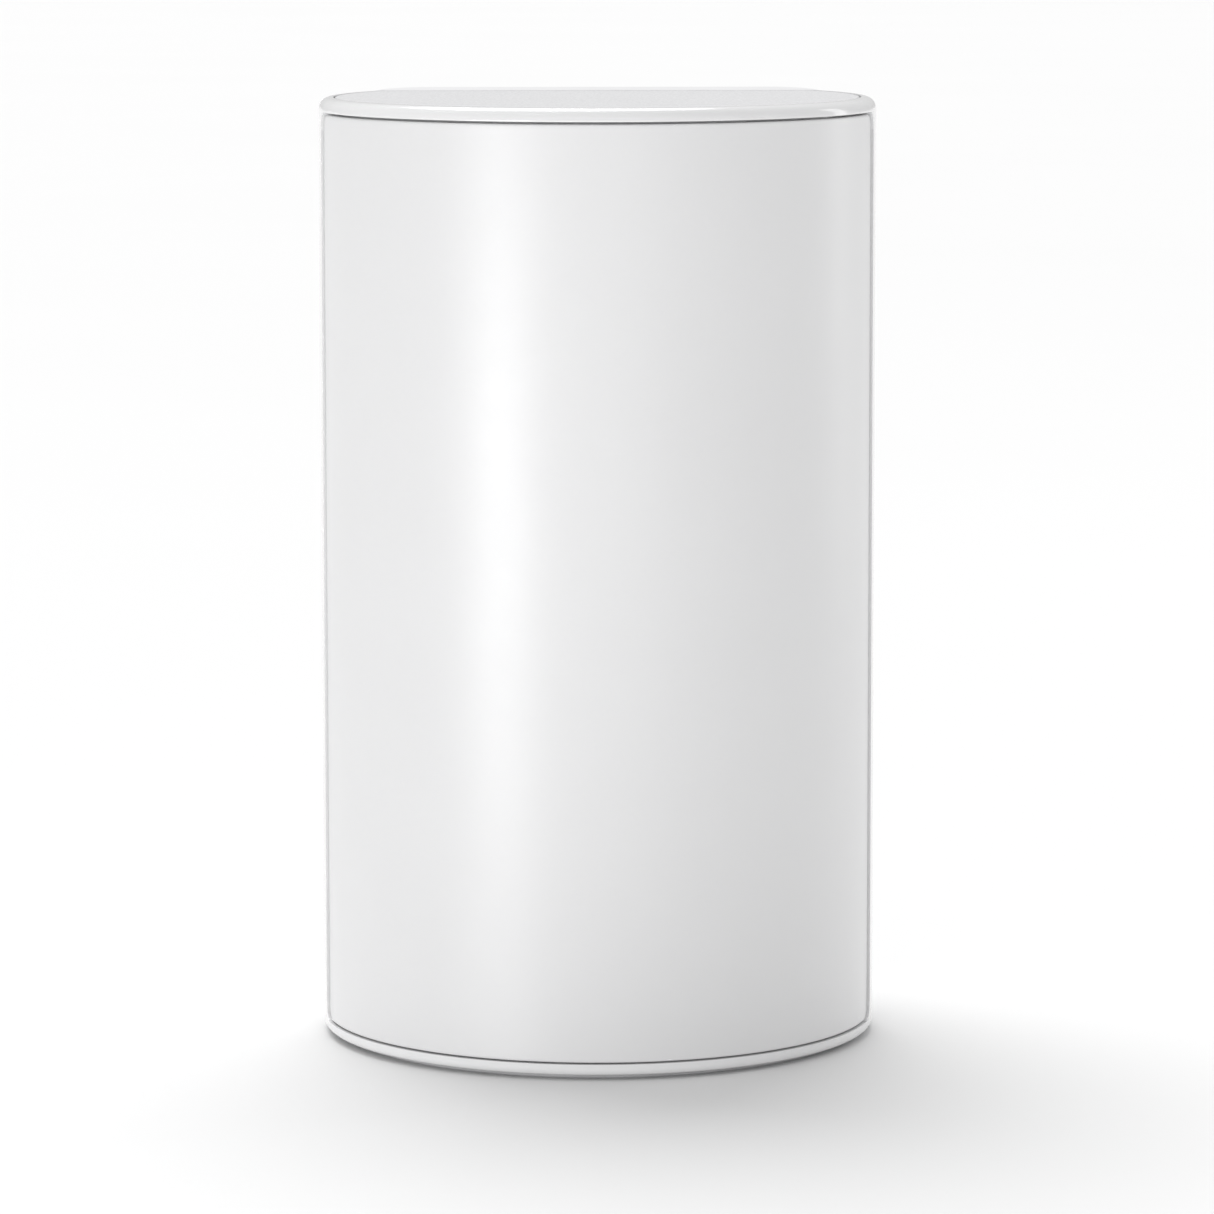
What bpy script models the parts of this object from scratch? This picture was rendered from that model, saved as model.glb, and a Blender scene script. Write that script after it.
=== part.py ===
"""A mesh wifi node: a round-fronted tower with a wrap-round cover, a rear housing and all its insides.

Lengths are in millimetres up to make(), which turns them into metres. +Z is up, the front faces -Y, and
the origin is the middle of the bottom of the whole object. Angles are in degrees about the body's
vertical axis, 0 at the front and positive towards +X.
"""

import math

import bmesh
import bpy
from mathutils import Vector

MM = 0.001

# Driving dimensions of the outside
RADIUS = 46.0
HEIGHT = 156.0
DEPTH = 87.0
AXIS_Y = RADIUS - DEPTH / 2
SEAM_Y = 26.2
FOOT_HEIGHT = 0.8
WALL = 1.8
GAP = 0.3
STEP_ANGLE = 4.0
INNER_STEP = 10.0

# Front cover and the window in the frame that it fills
COVER_INSET = 0.4
COVER_ANGLE = 79.4
COVER_LOW = 2.9
COVER_HIGH = HEIGHT - 2.55
WINDOW_ANGLE = 80.3
WINDOW_LOW = 2.6
WINDOW_HIGH = HEIGHT - 2.1
WINDOW_INNER = 43.5
COVER_INNER = 43.8
CLIP_ANGLES = (76.0, 83.0)
CLIP_HEIGHTS = (24.0, 80.0, 134.0)
CLIP_LENGTH = 8.0

# Top deck and the inlay set into it
TOP_FILLET = 1.9
BOTTOM_FILLET = 1.2
DECK_LOW = HEIGHT - 3.1
INLAY_FLOOR = HEIGHT - 1.3
INLAY_RADIUS = 43.3

# Rear housing
HOUSING_FRONT = SEAM_Y + GAP
HOUSING_BACK = 42.5
HOUSING_HALF = 38.6
HOUSING_CORNER = 8.3
HOUSING_WALL = 2.0
HOUSING_FILLET = 1.6

# Middles of the 2 mm wide vent slots, above the bracket and in the base plate
VENT_X = range(-24, 25, 6)

# Port bay in the lower rear
BAY_HALF = 29.0
BAY_WALL = 1.5
BAY_FRONT = 16.0
BAY_CEILING = 42.2
BAY_TOP = BAY_CEILING + BAY_WALL

# Base plate and feet
BASE_RADIUS = 43.9
BASE_TOP = 2.8
FOOT_RING = (41.0, 43.4)
FOOT_RING_ANGLE = 98.0
FOOT_TOP = 1.3
REAR_FOOT = (33.2, 33.5, 3.0)

# Main board
BOARD_HALF = 35.0
BOARD_FRONT = 16.0
BOARD_BACK = 17.6
BOARD_LOW = 44.0
BOARD_HIGH = 139.0
BOARD_SCREWS = [(x, z) for x in (-30.5, 30.5) for z in (66.0, 134.0)]
BOSS_RADIUS = 2.5
PILOT_RADIUS = 1.4

# Sockets on the rear of the board, facing down into the bay: low and high X, and back Y
SOCKET_LOW = BAY_CEILING
ETHERNET_X = {"left": (-17.2, -1.6), "right": (-0.2, 15.4)}
ETHERNET_BACK = 31.4
ETHERNET_HIGH = 63.0
POWER_X = (16.9, 25.9)
POWER_BACK = 28.9
POWER_HIGH = 56.0
PAIR_PLACE = (-21.8, 27.0)
RESET_PLACE = (-21.8, 20.8)

# Wall bracket and the pocket that it slides in
POCKET_HALF = 25.4
POCKET_LOW = 56.5
POCKET_HIGH = 134.4
POCKET_FLOOR = 38.3
BRACKET_HALF = 21.8
BRACKET_LOW = 70.0
BRACKET_HIGH = 134.0
BRACKET_BACK = DEPTH / 2
BRACKET_HOLES = (118.0, 86.0)
LIP_HEIGHTS = (79.0, 103.0, 127.0)
LIP_LENGTH = 11.0

# Antennas, each at its own angle on the carrier
ANTENNAS = {"outer_left": -68.0, "inner_left": -28.0, "inner_right": 28.0, "outer_right": 68.0}
CARRIER_WALL = (38.6, 40.0)
ANTENNA_SHELL = (40.3, 41.0)
CONNECTOR_X = {"outer_left": -21.0, "inner_left": -8.0, "inner_right": 8.0, "outer_right": 21.0}
CONNECTOR_Z = 134.5

# Light pipe from the LED on the board to the back of the front cover: low and high X and Z
PIPE_X = (-1.6, 1.6)
PIPE_Z = (45.6, 48.2)

# Screws through the base plate: X, Y
BASE_SCREWS = [(-38.6, 14.0), (38.6, 14.0), (-16.0, -26.0), (16.0, -26.0)]


def clear_scene():
    """Removes what the startup scene holds."""
    for old in list(bpy.data.objects):
        bpy.data.objects.remove(old, do_unlink=True)


def material(name, colour, roughness, metallic=0.0):
    made = bpy.data.materials.new(name)
    made.use_nodes = True
    shader = made.node_tree.nodes["Principled BSDF"]
    shader.inputs["Base Color"].default_value = (*colour, 1.0)
    shader.inputs["Roughness"].default_value = roughness
    shader.inputs["Metallic"].default_value = metallic
    made.diffuse_color = (*colour, 1.0)
    return made


def make(name, shape, finish, origin=(0.0, 0.0, 0.0)):
    """An object from a bmesh in millimetres, with its origin at the given point."""
    start = Vector(origin)
    for point in shape.verts:
        point.co = (point.co - start) * MM
    bmesh.ops.recalc_face_normals(shape, faces=shape.faces)
    mesh = bpy.data.meshes.new(name)
    shape.to_mesh(mesh)
    shape.free()
    if finish:
        mesh.materials.append(finish)
    made = bpy.data.objects.new(name, mesh)
    made.location = start * MM
    bpy.context.scene.collection.objects.link(made)
    return made


def helper(name, shape):
    """A cutter or an addition, which is only read by a Boolean."""
    made = make(name, shape, None)
    made.hide_render = True
    made.display_type = "WIRE"
    return made


def combine(target, shape, operation):
    tool = helper(f"{target.name}_tool_{len(target.modifiers)}", shape)
    step = target.modifiers.new(tool.name, "BOOLEAN")
    step.operation = operation
    step.solver = "EXACT"
    step.object = tool


def join(target, shape):
    combine(target, shape, "UNION")


def cut(target, shape):
    combine(target, shape, "DIFFERENCE")


def smooth(target):
    target.data.shade_smooth()
    target.data.set_sharp_from_angle(angle=math.radians(30))


def loft(sections):
    """A closed body through sections that all have the same number of points."""
    shape = bmesh.new()
    rings = [[shape.verts.new(point) for point in section] for section in sections]
    count = len(rings[0])
    for low, high in zip(rings, rings[1:]):
        for i in range(count):
            j = (i + 1) % count
            shape.faces.new((low[i], low[j], high[j], high[i]))
    shape.faces.new(reversed(rings[0]))
    shape.faces.new(rings[-1])
    return shape


def prism(outline, low, high):
    return loft([[(x, y, z) for x, y in outline] for z in (low, high)])


def box(x, y, z):
    outline = [(x[0], y[0]), (x[1], y[0]), (x[1], y[1]), (x[0], y[1])]
    return prism(outline, z[0], z[1])


def merged(shapes):
    """Several bodies that don't touch, as one bmesh."""
    whole = shapes[0]
    for other in shapes[1:]:
        spare = bpy.data.meshes.new("spare")
        other.to_mesh(spare)
        other.free()
        whole.from_mesh(spare)
        bpy.data.meshes.remove(spare)
    return whole


def turned(place, direction, profile, sides=24):
    """A round body along a direction from a place, through (distance, radius) pairs."""
    along = Vector(direction).normalized()
    across = along.orthogonal().normalized()
    aside = along.cross(across)
    turns = [2 * math.pi * i / sides for i in range(sides)]
    sections = []
    for distance, radius in profile:
        middle = Vector(place) + along * distance
        sections.append([middle + (across * math.cos(t) + aside * math.sin(t)) * radius for t in turns])
    return loft(sections)


def rod(place, direction, length, radius, sides=24):
    return turned(place, direction, [(0.0, radius), (length, radius)], sides)


def on_axis(radius, angle):
    """A point in plan at a radius and an angle about the body's axis."""
    turn = math.radians(angle)
    return radius * math.sin(turn), AXIS_Y - radius * math.cos(turn)


def arc(radius, start, end, step=STEP_ANGLE):
    steps = max(2, round(abs(end - start) / step))
    return [on_axis(radius, start + (end - start) * i / steps) for i in range(steps + 1)]


def sector(inner, outer, start, end, low, high, step=STEP_ANGLE):
    return prism(arc(outer, start, end, step) + arc(inner, end, start, step), low, high)


def round_front(radius, flat_y):
    """A circle about the body's axis, cut off straight at flat_y."""
    limit = math.degrees(math.acos((AXIS_Y - flat_y) / radius))
    steps = round(242 / STEP_ANGLE)
    return [on_axis(radius, -limit + 2 * limit * i / steps) for i in range(steps + 1)]


def filleted(outline_at, low, high, low_fillet, high_fillet):
    """A body whose outline draws in at its bottom and top edges, as a quarter round."""
    sections = []
    for turn in (0.0, 30.0, 60.0, 90.0):
        inset = low_fillet * (1 - math.sin(math.radians(turn)))
        height = low + low_fillet * (1 - math.cos(math.radians(turn)))
        sections.append([(x, y, height) for x, y in outline_at(inset)])
    for turn in (0.0, 22.5, 45.0, 67.5, 90.0):
        inset = high_fillet * (1 - math.cos(math.radians(turn)))
        height = high - high_fillet * (1 - math.sin(math.radians(turn)))
        sections.append([(x, y, height) for x, y in outline_at(inset)])
    return loft(sections)


def housing_outline(half, back, front, corner=HOUSING_CORNER, steps=10):
    """A flat back with a quarter ellipse at each side, from the left front round to the right front."""
    right = []
    for i in range(steps + 1):
        turn = math.radians(90 * i / steps)
        x = half - corner + corner * math.cos(turn)
        right.append((x, front + (back - front) * math.sin(turn)))
    return right + [(-x, y) for x, y in reversed(right)]


# Shells


def main_frame(finish):
    """The glossy frame: top deck with a rim, bottom rim, and two side strips round the window."""
    body = make(
        "main_frame",
        filleted(
            lambda inset: round_front(RADIUS - inset, SEAM_Y),
            FOOT_HEIGHT,
            HEIGHT,
            BOTTOM_FILLET,
            TOP_FILLET,
        ),
        finish,
    )
    past_back = SEAM_Y + 2
    cut(body, prism(round_front(RADIUS - WALL, past_back), -1, DECK_LOW))
    cut(body, prism(round_front(INLAY_RADIUS + GAP, past_back), INLAY_FLOOR, HEIGHT + 1))
    cut(
        body,
        sector(WINDOW_INNER, RADIUS + 4, -WINDOW_ANGLE, WINDOW_ANGLE, WINDOW_LOW, WINDOW_HIGH),
    )
    join(body, merged([rod((x, y, BASE_TOP + GAP), (0, 0, 1), 12, 4.2) for x, y in BASE_SCREWS[:2]]))
    cut(body, merged([rod((x, y, 0), (0, 0, 1), 11, PILOT_RADIUS, 16) for x, y in BASE_SCREWS[:2]]))
    return body


def front_cover(finish):
    """The wrap-round cover, with six clips that hook behind the frame's side strips."""
    outer = RADIUS - COVER_INSET
    body = make(
        "front_cover",
        sector(COVER_INNER, outer, -COVER_ANGLE, COVER_ANGLE, COVER_LOW, COVER_HIGH),
        finish,
    )
    edge = body.modifiers.new("edge", "BEVEL")
    edge.width = 0.4 * MM
    edge.segments = 2
    edge.limit_method = "ANGLE"
    edge.angle_limit = math.radians(40)
    near, far = CLIP_ANGLES
    clips = []
    for height in CLIP_HEIGHTS:
        for start, end in ((-far, -near), (near, far)):
            clips.append(
                sector(COVER_INNER - 1.2, COVER_INNER + 0.1, start, end, height, height + CLIP_LENGTH)
            )
    join(body, merged(clips))
    return body


def top_inlay(finish):
    return make(
        "top_inlay",
        prism(round_front(INLAY_RADIUS, SEAM_Y), INLAY_FLOOR + GAP, HEIGHT),
        finish,
    )


def rear_housing(finish):
    """The rear shell, with bosses for the board, the pocket and its lips, hooks, vents and feet seats."""
    body = make(
        "rear_housing",
        filleted(
            lambda inset: housing_outline(HOUSING_HALF - inset, HOUSING_BACK - inset, HOUSING_FRONT),
            FOOT_HEIGHT,
            HEIGHT,
            BOTTOM_FILLET,
            HOUSING_FILLET,
        ),
        finish,
    )
    inside_front = HOUSING_FRONT - 1
    inside_back = HOUSING_BACK - HOUSING_WALL
    inner = housing_outline(HOUSING_HALF - HOUSING_WALL, inside_back, inside_front, corner=7.6)
    cut(body, prism(inner, FOOT_HEIGHT + HOUSING_WALL, HEIGHT - HOUSING_WALL))
    join(
        body,
        box(
            (-POCKET_HALF - WALL, POCKET_HALF + WALL),
            (POCKET_FLOOR - HOUSING_WALL, HOUSING_BACK - 1),
            (POCKET_LOW - WALL, POCKET_HIGH + WALL),
        ),
    )
    for x, z in BOARD_SCREWS:
        join(body, rod((x, BOARD_BACK + GAP, z), (0, 1, 0), 41.0 - BOARD_BACK - GAP, BOSS_RADIUS))
    for side in (-1, 1):
        x = sorted((side * 35.3, side * 36.9))
        hooks = [box(x, (21.0, 31.0), (z, z + 8.0)) for z in (12.0, 78.0, 144.0)]
        join(body, merged(hooks))
    cut(
        body,
        box((-POCKET_HALF, POCKET_HALF), (POCKET_FLOOR, HOUSING_BACK + 2), (POCKET_LOW, POCKET_HIGH)),
    )
    lips = []
    for z in LIP_HEIGHTS:
        for side in (-1, 1):
            x = sorted((side * (BRACKET_HALF + 0.5), side * (POCKET_HALF + 0.8)))
            lips.append(box(x, (40.6, HOUSING_BACK - 0.05), (z - LIP_LENGTH / 2, z + LIP_LENGTH / 2)))
    join(body, merged(lips))
    pilots = [rod((x, BOARD_BACK - 1, z), (0, 1, 0), 11, PILOT_RADIUS, 16) for x, z in BOARD_SCREWS]
    cut(body, merged(pilots))
    floor_half = BAY_HALF + GAP
    cut(body, box((-floor_half, floor_half), (inside_front - 1, inside_back + 0.1), (-1, 3.5)))
    inner_half = BAY_HALF - BAY_WALL
    cut(body, box((-inner_half, inner_half), (inside_back - 6, HOUSING_BACK + 2), (-1, BAY_CEILING)))
    vents = [box((x - 1, x + 1), (inside_back - 1, HOUSING_BACK + 2), (141, 151)) for x in VENT_X]
    cut(body, merged(vents))
    x, y, radius = REAR_FOOT
    seats = [rod((side * x, y, -1), (0, 0, 1), FOOT_TOP + GAP + 1, radius + GAP) for side in (-1, 1)]
    cut(body, merged(seats))
    return body


def port_bay(finish):
    """The liner of the recess: a tray upside down, with a hole in its ceiling for each socket and button."""
    back = HOUSING_BACK - HOUSING_WALL - GAP
    body = make("port_bay", box((-BAY_HALF, BAY_HALF), (BAY_FRONT, back), (1.0, BAY_TOP)), finish)
    inner_half = BAY_HALF - BAY_WALL
    cut(body, box((-inner_half, inner_half), (BAY_FRONT + BAY_WALL, back + 2), (-1, BAY_CEILING)))
    holes = []
    sockets = [(x, ETHERNET_BACK) for x in ETHERNET_X.values()] + [(POWER_X, POWER_BACK)]
    for (low, high), socket_back in sockets:
        x, y = (low - GAP, high + GAP), (BOARD_BACK, socket_back + GAP)
        holes.append(box(x, y, (BAY_CEILING - 1, BAY_TOP + 1)))
    holes.append(rod((*PAIR_PLACE, BAY_CEILING - 1), (0, 0, 1), 4, 3.4))
    holes.append(rod((*RESET_PLACE, BAY_CEILING - 1), (0, 0, 1), 4, 1.0, 16))
    cut(body, merged(holes))
    posts = [rod((-27.0, y, BAY_TOP - 0.7), (0, 0, 1), 7.6, 1.0, 12) for y in (20.0, 31.8)]
    join(body, merged(posts))
    return body


def base_plate(finish):
    """The floor of the tower: a notch for the bay, a groove for the foot ring, vent slots and screw seats."""
    body = make("base_plate", prism(round_front(BASE_RADIUS, SEAM_Y - GAP), FOOT_HEIGHT, BASE_TOP), finish)
    notch = BAY_HALF + GAP
    cut(body, box((-notch, notch), (BAY_FRONT - GAP, SEAM_Y + 2), (0, BASE_TOP + 1)))
    groove = sector(
        FOOT_RING[0] - GAP, FOOT_RING[1] + 0.2, -FOOT_RING_ANGLE - 1, FOOT_RING_ANGLE + 1, 0, FOOT_TOP + GAP
    )
    cut(body, groove)
    vents = [box((x - 1, x + 1), (-20, 8), (0, BASE_TOP + 1)) for x in VENT_X]
    holes = [rod((x, y, FOOT_HEIGHT - 1), (0, 0, 1), 5, 1.7, 16) for x, y in BASE_SCREWS]
    cut(body, merged(vents + holes))
    seats = [rod((x, y, 0), (0, 0, 1), FOOT_HEIGHT + 1.2, 3.0) for x, y in BASE_SCREWS]
    cut(body, merged(seats))
    return body


def feet(finish):
    """A C-shaped rubber ring under the base plate, and two round pads under the rear housing."""
    low, high = FOOT_RING
    make("foot_ring", sector(low, high, -FOOT_RING_ANGLE, FOOT_RING_ANGLE, 0, FOOT_TOP), finish)
    x, y, radius = REAR_FOOT
    for name, side in (("left", -1), ("right", 1)):
        smooth(make(f"rear_foot_{name}", rod((side * x, y, 0), (0, 0, 1), FOOT_TOP, radius), finish))


def wall_bracket(finish):
    """A hat-section plate with wings that lock behind the pocket's lips, and two countersunk holes."""
    low, high = BRACKET_LOW, BRACKET_HIGH
    body = make(
        "wall_bracket",
        box((-BRACKET_HALF, BRACKET_HALF), (41.3, BRACKET_BACK), (low, high)),
        finish,
        origin=(0, BRACKET_BACK, (low + high) / 2),
    )
    for side in (-1, 1):
        x = sorted((side * 19.0, side * (BRACKET_HALF - 0.2)))
        join(body, box(x, (38.7, 42.0), (low + 0.5, high - 0.5)))
    for side in (-1, 1):
        x = sorted((side * 20.0, side * (POCKET_HALF - 0.5)))
        wings = [box(x, (38.9, 40.2), (z - LIP_LENGTH / 2, z + LIP_LENGTH / 2)) for z in LIP_HEIGHTS]
        join(body, merged(wings))
    countersunk = [(0.0, 4.5), (1.6, 4.5), (3.4, 2.3), (8.0, 2.3)]
    for z in BRACKET_HOLES:
        cut(body, turned((0, 39.8, z), (0, 1, 0), countersunk))
    return body


# Buttons and their switches


def buttons(cap_finish, switch_finish, plunger_finish, board_finish):
    """The pair button's cap, and a switch with its plunger for each button, under their own small board."""
    x, y = PAIR_PLACE
    profile = [(0.0, 2.7), (0.4, 3.1), (3.0, 3.1), (3.0, 3.8), (4.0, 3.8)]
    smooth(make("pair_button", turned((x, y, 41.0), (0, 0, 1), profile), cap_finish, (x, y, 41.0)))
    switches = {"pair": (PAIR_PLACE, 3.0, 1.5, 45.3), "reset": (RESET_PLACE, 2.4, 0.8, 44.0)}
    for name, ((x, y), half, radius, low) in switches.items():
        shell = box((x - half, x + half), (y - half + 0.2, y + half - 0.2), (46.8, 50.6))
        body = make(f"{name}_switch", shell, switch_finish)
        cut(body, rod((x, y, 46.0), (0, 0, 1), 3.0, radius + 0.35, 16))
        plunger = rod((x, y, low), (0, 0, 1), 47.8 - low, radius, 16)
        smooth(make(f"{name}_switch_plunger", plunger, plunger_finish, (x, y, low)))
    make("button_board", box((-28.2, -18.0), (18.0, 33.0), (50.9, 52.1)), board_finish)


# Electronics


def main_board(finish):
    body = make(
        "main_board",
        box((-BOARD_HALF, BOARD_HALF), (BOARD_FRONT, BOARD_BACK), (BOARD_LOW, BOARD_HIGH)),
        finish,
    )
    holes = [rod((x, BOARD_FRONT - 1, z), (0, 1, 0), 4, 1.6, 16) for x, z in BOARD_SCREWS]
    cut(body, merged(holes))
    return body


def heat_sink(finish):
    """A comb of upright fins in front of its base, standing on four feet against the board."""
    half, base_front, base_back, tip, fins, fin = 27.0, 8.3, 12.3, -12.0, 9, 1.4
    pitch = (2 * half - fin) / (fins - 1)
    outline = [(half, base_back), (-half, base_back)]
    for i in range(fins):
        left = -half + i * pitch
        outline += [(left, tip), (left + fin, tip)]
        if i < fins - 1:
            outline += [(left + fin, base_front), (left + pitch, base_front)]
    body = make("heat_sink", prism(outline, 72.0, 128.0), finish)
    legs = [
        rod((x, base_back - 1, z), (0, 1, 0), BOARD_FRONT - GAP - base_back + 1, 2.0, 16)
        for x in (-24.0, 24.0)
        for z in (75.0, 125.0)
    ]
    join(body, merged(legs))
    return body


def chips(chip_finish, pad_finish):
    """Two processors with thermal pads that reach towards the heat sink, and two smaller chips."""
    layout = {"cpu": (0.0, 94.0, 7.0, 7.0), "radio": (0.0, 116.0, 5.0, 5.0)}
    for name, (x, z, half_x, half_z) in layout.items():
        across, along = (x - half_x, x + half_x), (z - half_z, z + half_z)
        make(f"{name}_chip", box(across, (14.3, 15.7), along), chip_finish)
        make(f"thermal_pad_{name}", box(across, (12.6, 14.0), along), pad_finish)
    layout = {"memory": (-16.0, 94.0, 4.0, 6.0), "flash": (15.0, 94.0, 3.0, 4.0)}
    for name, (x, z, half_x, half_z) in layout.items():
        across, along = (x - half_x, x + half_x), (z - half_z, z + half_z)
        make(f"{name}_chip", box(across, (14.6, 15.7), along), chip_finish)


def shield_cans(finish):
    """Two thin-walled cans on the rear of the board, open towards it."""
    for name, low, high in (("left", -24.0, -1.5), ("right", 1.5, 24.0)):
        body = make(f"shield_can_{name}", box((low, high), (17.9, 20.9), (84, 112)), finish)
        cut(body, box((low + 0.5, high - 0.5), (17.0, 20.4), (84.5, 111.5)))


def ethernet_jacks(finish):
    """Each has a plug opening with a narrower latch slot behind it, facing down."""
    for name, (low, high) in ETHERNET_X.items():
        middle = (low + high) / 2
        body = make(
            f"ethernet_jack_{name}",
            box((low, high), (BOARD_BACK + GAP, ETHERNET_BACK), (SOCKET_LOW, ETHERNET_HIGH)),
            finish,
        )
        cut(body, box((middle - 5.9, middle + 5.9), (20.6, 27.6), (SOCKET_LOW - 1, 56.0)))
        cut(body, box((middle - 3.2, middle + 3.2), (27.0, 29.8), (SOCKET_LOW - 1, 54.0)))


def power_jack(finish):
    """A barrel socket with its centre pin."""
    low, high = POWER_X
    x, y = (low + high) / 2, 24.0
    shell = box((low, high), (BOARD_BACK + GAP, POWER_BACK), (SOCKET_LOW, POWER_HIGH))
    body = make("power_jack", shell, finish)
    cut(body, rod((x, y, SOCKET_LOW - 1), (0, 0, 1), 11.0, 3.2))
    pin = turned((x, y, SOCKET_LOW + 0.6), (0, 0, 1), [(0.0, 0.6), (0.5, 1.0), (11.0, 1.0)], 12)
    join(body, pin)


def rear_components(can_finish, chip_finish, core_finish):
    """The network magnetics, two capacitors and an inductor on the rear of the board."""
    make("network_magnetics", box((-14.0, 14.0), (17.9, 23.0), (66.5, 76.5)), chip_finish)
    for name, x in (("left", -22.5), ("right", 22.5)):
        profile = [(0.0, 3.0), (7.0, 3.0), (7.4, 2.6)]
        smooth(make(f"capacitor_{name}", turned((x, 17.9, 61.5), (0, 1, 0), profile), can_finish))
    make("inductor", box((19.0, 26.0), (17.9, 22.0), (69.5, 76.5)), core_finish)


def status_light(led_finish, pipe_finish):
    """An LED on the board, and the clear bar that takes its light to the cover."""
    make("status_led", box((-1.2, 1.2), (14.7, 15.7), (46.0, 47.8)), led_finish)
    pipe = make("light_pipe", box(PIPE_X, (-40.6, 14.4), PIPE_Z), pipe_finish)
    edge = pipe.modifiers.new("edge", "BEVEL")
    edge.width = 0.3 * MM
    edge.segments = 1


# Antennas


def antenna_carrier(finish):
    """Two C-shaped plates joined by a wall behind each antenna, two screw bosses and the light pipe post."""
    body = make("antenna_carrier", sector(34.0, 43.1, -98, 98, 6, 8, INNER_STEP), finish)
    join(body, sector(37.5, 43.1, -98, 98, 146, 148, INNER_STEP))
    inner, outer = CARRIER_WALL
    join(body, merged([sector(inner, outer, a - 10, a + 10, 7, 147, INNER_STEP) for a in ANTENNAS.values()]))
    bosses = [rod((x, y, BASE_TOP + GAP), (0, 0, 1), 11, 3.2) for x, y in BASE_SCREWS[2:]]
    join(body, merged(bosses))
    cut(body, merged([rod((x, y, 1), (0, 0, 1), 11, PILOT_RADIUS, 16) for x, y in BASE_SCREWS[2:]]))
    (left, right), (low, high) = PIPE_X, PIPE_Z
    join(body, box((left - 2.4, right + 2.4), (-38.0, -36.0), (7.0, high + 2.4)))
    cut(body, box((left - GAP, right + GAP), (-39.0, -35.0), (low - GAP, high + GAP)))
    windows = [
        sector(36, 42, a - 3, a + 3, z, z + 34, INNER_STEP) for a in ANTENNAS.values() for z in (16, 56)
    ]
    cut(body, merged(windows))


def antennas(finish, lead_finish, connector_finish):
    """Four thin curved plates in front of their walls, each with a lead to a connector on the board."""
    inner, outer = ANTENNA_SHELL
    for name, angle in ANTENNAS.items():
        make(f"antenna_{name}", sector(inner, outer, angle - 8, angle + 8, 98, 142, INNER_STEP), finish)
        x = CONNECTOR_X[name]
        plug = rod((x, 15.7, CONNECTOR_Z), (0, -1, 0), 1.2, 1.7, 16)
        smooth(make(f"antenna_connector_{name}", plug, connector_finish))
        antenna_lead(name, angle, x, lead_finish)


def antenna_lead(name, angle, x, finish):
    """A thin coax from half way up the wall's inner face, over the heat sink and down to its connector."""
    side = 1 if x > 0 else -1
    start_x, start_y = on_axis(37.6, angle)
    high_x, high_y = on_axis(35.5, angle)
    route = [
        Vector((start_x, start_y, 100.0)),
        Vector((start_x, start_y, 118.0)),
        Vector((high_x, high_y, 134.0)),
        Vector((high_x * 0.8, high_y * 0.6, 141.0)),
        Vector((x + side * 2.0, 2.0, 141.0)),
        Vector((x, 9.0, CONNECTOR_Z + 2.0)),
        Vector((x, 14.0, CONNECTOR_Z)),
    ]
    points = spline_points(route, 3)
    curve = bpy.data.curves.new(f"antenna_lead_{name}", "CURVE")
    curve.dimensions = "3D"
    curve.bevel_depth = 0.65 * MM
    curve.bevel_resolution = 1
    curve.use_fill_caps = True
    line = curve.splines.new("POLY")
    line.points.add(len(points) - 1)
    for target, point in zip(line.points, points):
        target.co = (*(point * MM), 1.0)
    curve.materials.append(finish)
    made = bpy.data.objects.new(curve.name, curve)
    bpy.context.scene.collection.objects.link(made)


def spline_points(route, steps):
    """Points of a Catmull-Rom curve through the route."""
    padded = [2 * route[0] - route[1], *route, 2 * route[-1] - route[-2]]
    points = []
    for a, b, c, d in zip(padded, padded[1:], padded[2:], padded[3:]):
        for i in range(steps):
            t = i / steps
            bend, twist = 2 * a - 5 * b + 4 * c - d, 3 * b - a - 3 * c + d
            points.append(0.5 * (2 * b + (c - a) * t + bend * t**2 + twist * t**3))
    return points + [route[-1]]


def screws(finish):
    """Slotted screws: four up through the base plate, and four that hold the board to the rear housing."""
    base_profile = [(0.0, 2.2), (0.3, 2.6), (1.0, 2.6), (1.0, 1.1), (8.0, 1.1)]
    for number, (x, y) in enumerate(BASE_SCREWS, 1):
        shape = turned((x, y, FOOT_HEIGHT - 0.1), (0, 0, 1), base_profile, 16)
        screw = make(f"base_screw_{number}", shape, finish)
        cut(screw, box((x - 0.35, x + 0.35), (y - 1.6, y + 1.6), (0, FOOT_HEIGHT + 0.5)))
    board_profile = [(0.0, 1.9), (0.4, 2.3), (1.4, 2.3), (1.4, 1.1), (9.0, 1.1)]
    for number, (x, z) in enumerate(BOARD_SCREWS, 1):
        shape = turned((x, 14.3, z), (0, 1, 0), board_profile, 16)
        screw = make(f"board_screw_{number}", shape, finish)
        cut(screw, box((x - 0.35, x + 0.35), (14, 15.0), (z - 1.4, z + 1.4)))


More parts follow.
